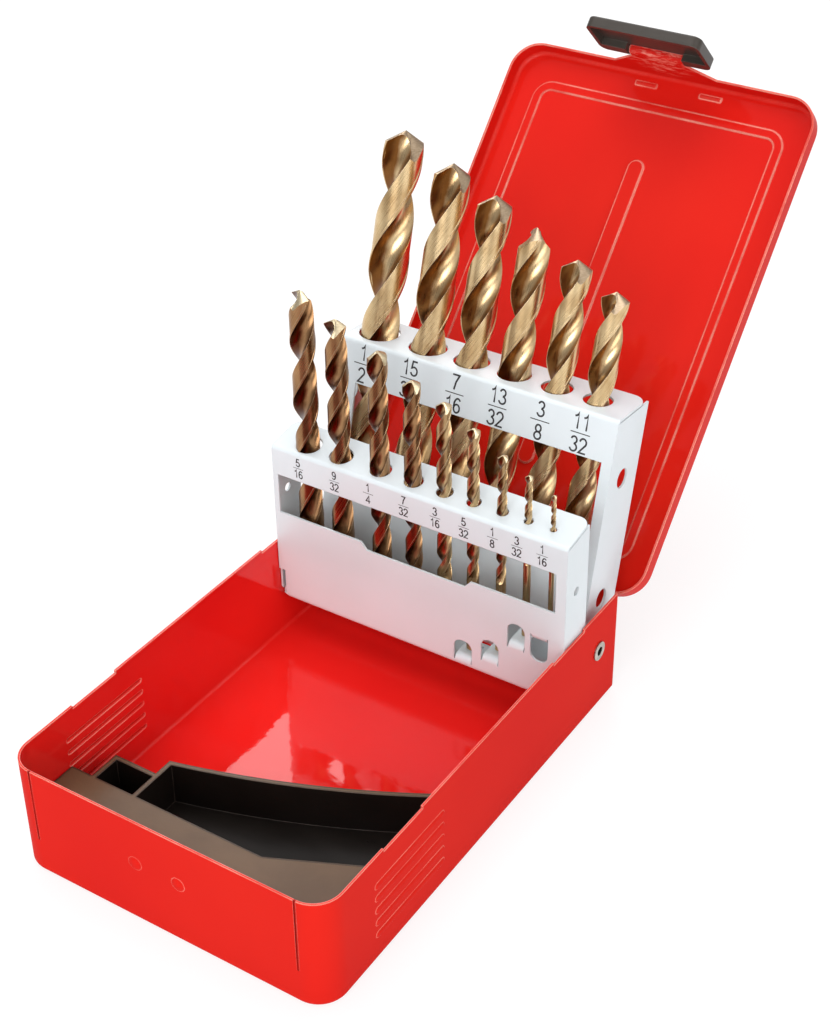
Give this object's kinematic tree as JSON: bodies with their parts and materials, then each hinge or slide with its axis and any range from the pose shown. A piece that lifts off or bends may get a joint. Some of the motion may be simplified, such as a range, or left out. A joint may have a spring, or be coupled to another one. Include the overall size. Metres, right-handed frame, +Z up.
{
  "type": "drill bit case",
  "caption": "Folding steel drill bit case with a hinged lid, latch, moulded insert and two pivoting racks of removable twist drills.",
  "frame": {"origin": "centre of the base tray's flat underside", "axes": "+X along the front wall to the right, +Y from the front wall towards the lid hinge, +Z up; the lid is open at rest"},
  "size_m": [0.1132, 0.2896, 0.1781],
  "materials": {
    "red_enamel": "gloss",
    "rack_paint": "satin",
    "black_plastic": "satin",
    "latch_plastic": "satin",
    "plated_steel": "bright",
    "bit_gold": "satin"
  },
  "bodies": {
    "case": {"base_tray": "red_enamel", "insert_tray": "black_plastic", "hinge_base_leaf": "red_enamel", "hinge_pin": "plated_steel", "eyelet_right": "plated_steel", "eyelet_left": "plated_steel", "pivot_washer_right": "plated_steel", "pivot_washer_left": "plated_steel"},
    "lid": {"lid_shell": "red_enamel", "hinge_lid_leaf": "red_enamel", "latch_pin": "plated_steel"},
    "latch": {"latch_plate": "latch_plastic"},
    "front_rack": {"front_rack": "rack_paint"},
    "rear_rack": {"rear_rack": "rack_paint"},
    "bit_1_2": {"bit_1_2": "bit_gold"},
    "bit_15_32": {"bit_15_32": "bit_gold"},
    "bit_7_16": {"bit_7_16": "bit_gold"},
    "bit_13_32": {"bit_13_32": "bit_gold"},
    "bit_3_8": {"bit_3_8": "bit_gold"},
    "bit_11_32": {"bit_11_32": "bit_gold"},
    "bit_5_16": {"bit_5_16": "bit_gold"},
    "bit_9_32": {"bit_9_32": "bit_gold"},
    "bit_1_4": {"bit_1_4": "bit_gold"},
    "bit_7_32": {"bit_7_32": "bit_gold"},
    "bit_3_16": {"bit_3_16": "bit_gold"},
    "bit_5_32": {"bit_5_32": "bit_gold"},
    "bit_1_8": {"bit_1_8": "bit_gold"},
    "bit_3_32": {"bit_3_32": "bit_gold"},
    "bit_1_16": {"bit_1_16": "bit_gold"}
  },
  "joints": [
    {"name": "lid_hinge", "type": "hinge", "parent": "case", "child": "lid", "pos_m": [0, 0.0892, 0.03192], "axis": [-1, 0, 0], "range_deg": [-132.5, 0]},
    {"name": "rear_rack_pivot", "type": "hinge", "parent": "case", "child": "rear_rack", "pos_m": [0, 0.0682, 0.023], "axis": [-1, 0, 0], "range_deg": [-104.01, 0]},
    {"name": "front_rack_pivot", "type": "hinge", "parent": "case", "child": "front_rack", "pos_m": [0, 0.0682, 0.023], "axis": [-1, 0, 0], "range_deg": [-89.71, 0]},
    {"name": "latch_hinge", "type": "hinge", "parent": "lid", "child": "latch", "pos_m": [0, 0.19815, 0.1649], "axis": [-1, 0, 0], "range_deg": [0, 100]},
    {"name": "bit_1_2_pull", "type": "slide", "parent": "rear_rack", "child": "bit_1_2", "axis": [0, 0.2588, 0.9659], "range_m": [0, 0.092]},
    {"name": "bit_15_32_pull", "type": "slide", "parent": "rear_rack", "child": "bit_15_32", "axis": [0, 0.2588, 0.9659], "range_m": [0, 0.092]},
    {"name": "bit_7_16_pull", "type": "slide", "parent": "rear_rack", "child": "bit_7_16", "axis": [0, 0.2588, 0.9659], "range_m": [0, 0.092]},
    {"name": "bit_13_32_pull", "type": "slide", "parent": "rear_rack", "child": "bit_13_32", "axis": [0, 0.2588, 0.9659], "range_m": [0, 0.092]},
    {"name": "bit_3_8_pull", "type": "slide", "parent": "rear_rack", "child": "bit_3_8", "axis": [0, 0.2588, 0.9659], "range_m": [0, 0.092]},
    {"name": "bit_11_32_pull", "type": "slide", "parent": "rear_rack", "child": "bit_11_32", "axis": [0, 0.2588, 0.9659], "range_m": [0, 0.092]},
    {"name": "bit_5_16_pull", "type": "slide", "parent": "front_rack", "child": "bit_5_16", "axis": [0, -0.0052, 1], "range_m": [0, 0.065]},
    {"name": "bit_9_32_pull", "type": "slide", "parent": "front_rack", "child": "bit_9_32", "axis": [0, -0.0052, 1], "range_m": [0, 0.065]},
    {"name": "bit_1_4_pull", "type": "slide", "parent": "front_rack", "child": "bit_1_4", "axis": [0, -0.0052, 1], "range_m": [0, 0.065]},
    {"name": "bit_7_32_pull", "type": "slide", "parent": "front_rack", "child": "bit_7_32", "axis": [0, -0.0052, 1], "range_m": [0, 0.065]},
    {"name": "bit_3_16_pull", "type": "slide", "parent": "front_rack", "child": "bit_3_16", "axis": [0, -0.0052, 1], "range_m": [0, 0.065]},
    {"name": "bit_5_32_pull", "type": "slide", "parent": "front_rack", "child": "bit_5_32", "axis": [0, -0.0052, 1], "range_m": [0, 0.061]},
    {"name": "bit_1_8_pull", "type": "slide", "parent": "front_rack", "child": "bit_1_8", "axis": [0, -0.0052, 1], "range_m": [0, 0.057]},
    {"name": "bit_3_32_pull", "type": "slide", "parent": "front_rack", "child": "bit_3_32", "axis": [0, -0.0052, 1], "range_m": [0, 0.048]},
    {"name": "bit_1_16_pull", "type": "slide", "parent": "front_rack", "child": "bit_1_16", "axis": [0, -0.0052, 1], "range_m": [0, 0.043]}
  ],
  "couplings": [
    {"joint": "rear_rack_pivot", "follows": "lid_hinge", "ratio": 0.78491},
    {"joint": "front_rack_pivot", "follows": "lid_hinge", "ratio": 0.67698}
  ]
}
